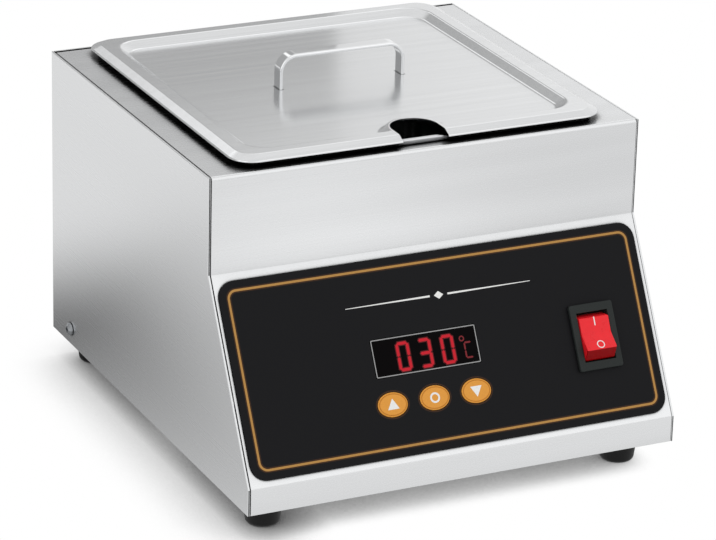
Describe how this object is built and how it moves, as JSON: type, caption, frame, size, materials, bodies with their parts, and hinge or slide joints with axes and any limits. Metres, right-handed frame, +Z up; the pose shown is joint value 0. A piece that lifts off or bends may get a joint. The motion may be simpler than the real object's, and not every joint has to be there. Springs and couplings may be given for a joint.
{
  "type": "chocolate tempering machine",
  "caption": "countertop chocolate tempering machine with a slanted control face, a lift-out pan, and a lid with a strip handle and a spoon notch",
  "frame": {"origin": "on the floor plane that the four feet rest on, under the middle of the bounding box", "axes": "+X to the right of someone who faces the control panel, +Y to the rear, +Z up"},
  "size_m": [0.2448, 0.267, 0.196],
  "materials": {
    "brushed_steel": "brushed stainless sheet",
    "polished_steel": "bright, polished stainless sheet",
    "zinc_steel": "dull zinc-plated steel",
    "aluminium": "plain mill finish",
    "brass": "plain brass",
    "black_rubber": "matte",
    "black_film": "satin printed polyester film, black with a gold line",
    "black_plastic": "fine-grained satin",
    "orange_plastic": "satin orange with a white mark",
    "red_plastic": "glossy translucent red",
    "smoked_window": "dark glossy window with red digits behind it",
    "green_board": "solder-masked glass fibre",
    "heater_rubber": "orange-brown silicone rubber",
    "glass_wool": "off-white needled glass wool"
  },
  "bodies": {
    "housing": {"base_plate": "zinc_steel", "board_standoff_high_left": "zinc_steel", "board_standoff_high_right": "zinc_steel", "board_standoff_low_left": "zinc_steel", "board_standoff_low_right": "zinc_steel", "control_board": "green_board", "control_overlay": "black_film", "display_module": "black_plastic", "display_window": "smoked_window", "earth_stud": "brass", "foot_front_left": "black_rubber", "foot_front_right": "black_rubber", "foot_rear_left": "black_rubber", "foot_rear_right": "black_rubber", "foot_screw_front_left": "zinc_steel", "foot_screw_front_right": "zinc_steel", "foot_screw_rear_left": "zinc_steel", "foot_screw_rear_right": "zinc_steel", "front_shell": "brushed_steel", "heat_sink": "aluminium", "heater_clamp": "aluminium", "heating_mat": "heater_rubber", "inlet_pin_earth": "brass", "inlet_pin_line": "brass", "inlet_pin_neutral": "brass", "insulation_blanket": "glass_wool", "key_switch_down": "black_plastic", "key_switch_set": "black_plastic", "key_switch_up": "black_plastic", "power_board": "green_board", "power_inlet": "black_plastic", "rear_panel": "brushed_steel", "rear_screw_high_left": "zinc_steel", "rear_screw_high_right": "zinc_steel", "rear_screw_low_left": "zinc_steel", "rear_screw_low_right": "zinc_steel", "relay": "black_plastic", "rocker_housing": "black_plastic", "rocker_terminal_high_left": "brass", "rocker_terminal_high_right": "brass", "rocker_terminal_low_left": "brass", "rocker_terminal_low_right": "brass", "side_panel_left": "brushed_steel", "side_panel_right": "brushed_steel", "side_screw_left": "zinc_steel", "side_screw_right": "zinc_steel", "temperature_probe": "polished_steel", "terminal_block": "black_plastic", "thermal_cutout": "black_plastic", "transformer": "black_plastic", "well_tank": "zinc_steel"},
    "pan": {"tempering_pan": "polished_steel"},
    "lid": {"lid": "polished_steel", "lid_handle": "polished_steel"},
    "power_rocker": {"rocker": "red_plastic"},
    "up_key": {"key_up": "orange_plastic"},
    "set_key": {"key_set": "orange_plastic"},
    "down_key": {"key_down": "orange_plastic"}
  },
  "joints": [
    {"name": "pan_lift", "type": "slide", "parent": "housing", "child": "pan", "axis": [0, 0, 1], "range_m": [0, 0.11]},
    {"name": "lid_lift", "type": "slide", "parent": "pan", "child": "lid", "axis": [0, 0, 1], "range_m": [0, 0.06]},
    {"name": "rocker_tip", "type": "hinge", "parent": "housing", "child": "power_rocker", "pos_m": [0.083, -0.11034, 0.07116], "axis": [1, 0, 0], "range_deg": [0, 22]},
    {"name": "up_key_press", "type": "slide", "parent": "housing", "child": "up_key", "axis": [0, 0.875, -0.4841], "range_m": [0, 0.0004], "stiffness_N_per_m": 2500},
    {"name": "set_key_press", "type": "slide", "parent": "housing", "child": "set_key", "axis": [0, 0.875, -0.4841], "range_m": [0, 0.0004], "stiffness_N_per_m": 2500},
    {"name": "down_key_press", "type": "slide", "parent": "housing", "child": "down_key", "axis": [0, 0.875, -0.4841], "range_m": [0, 0.0004], "stiffness_N_per_m": 2500}
  ]
}
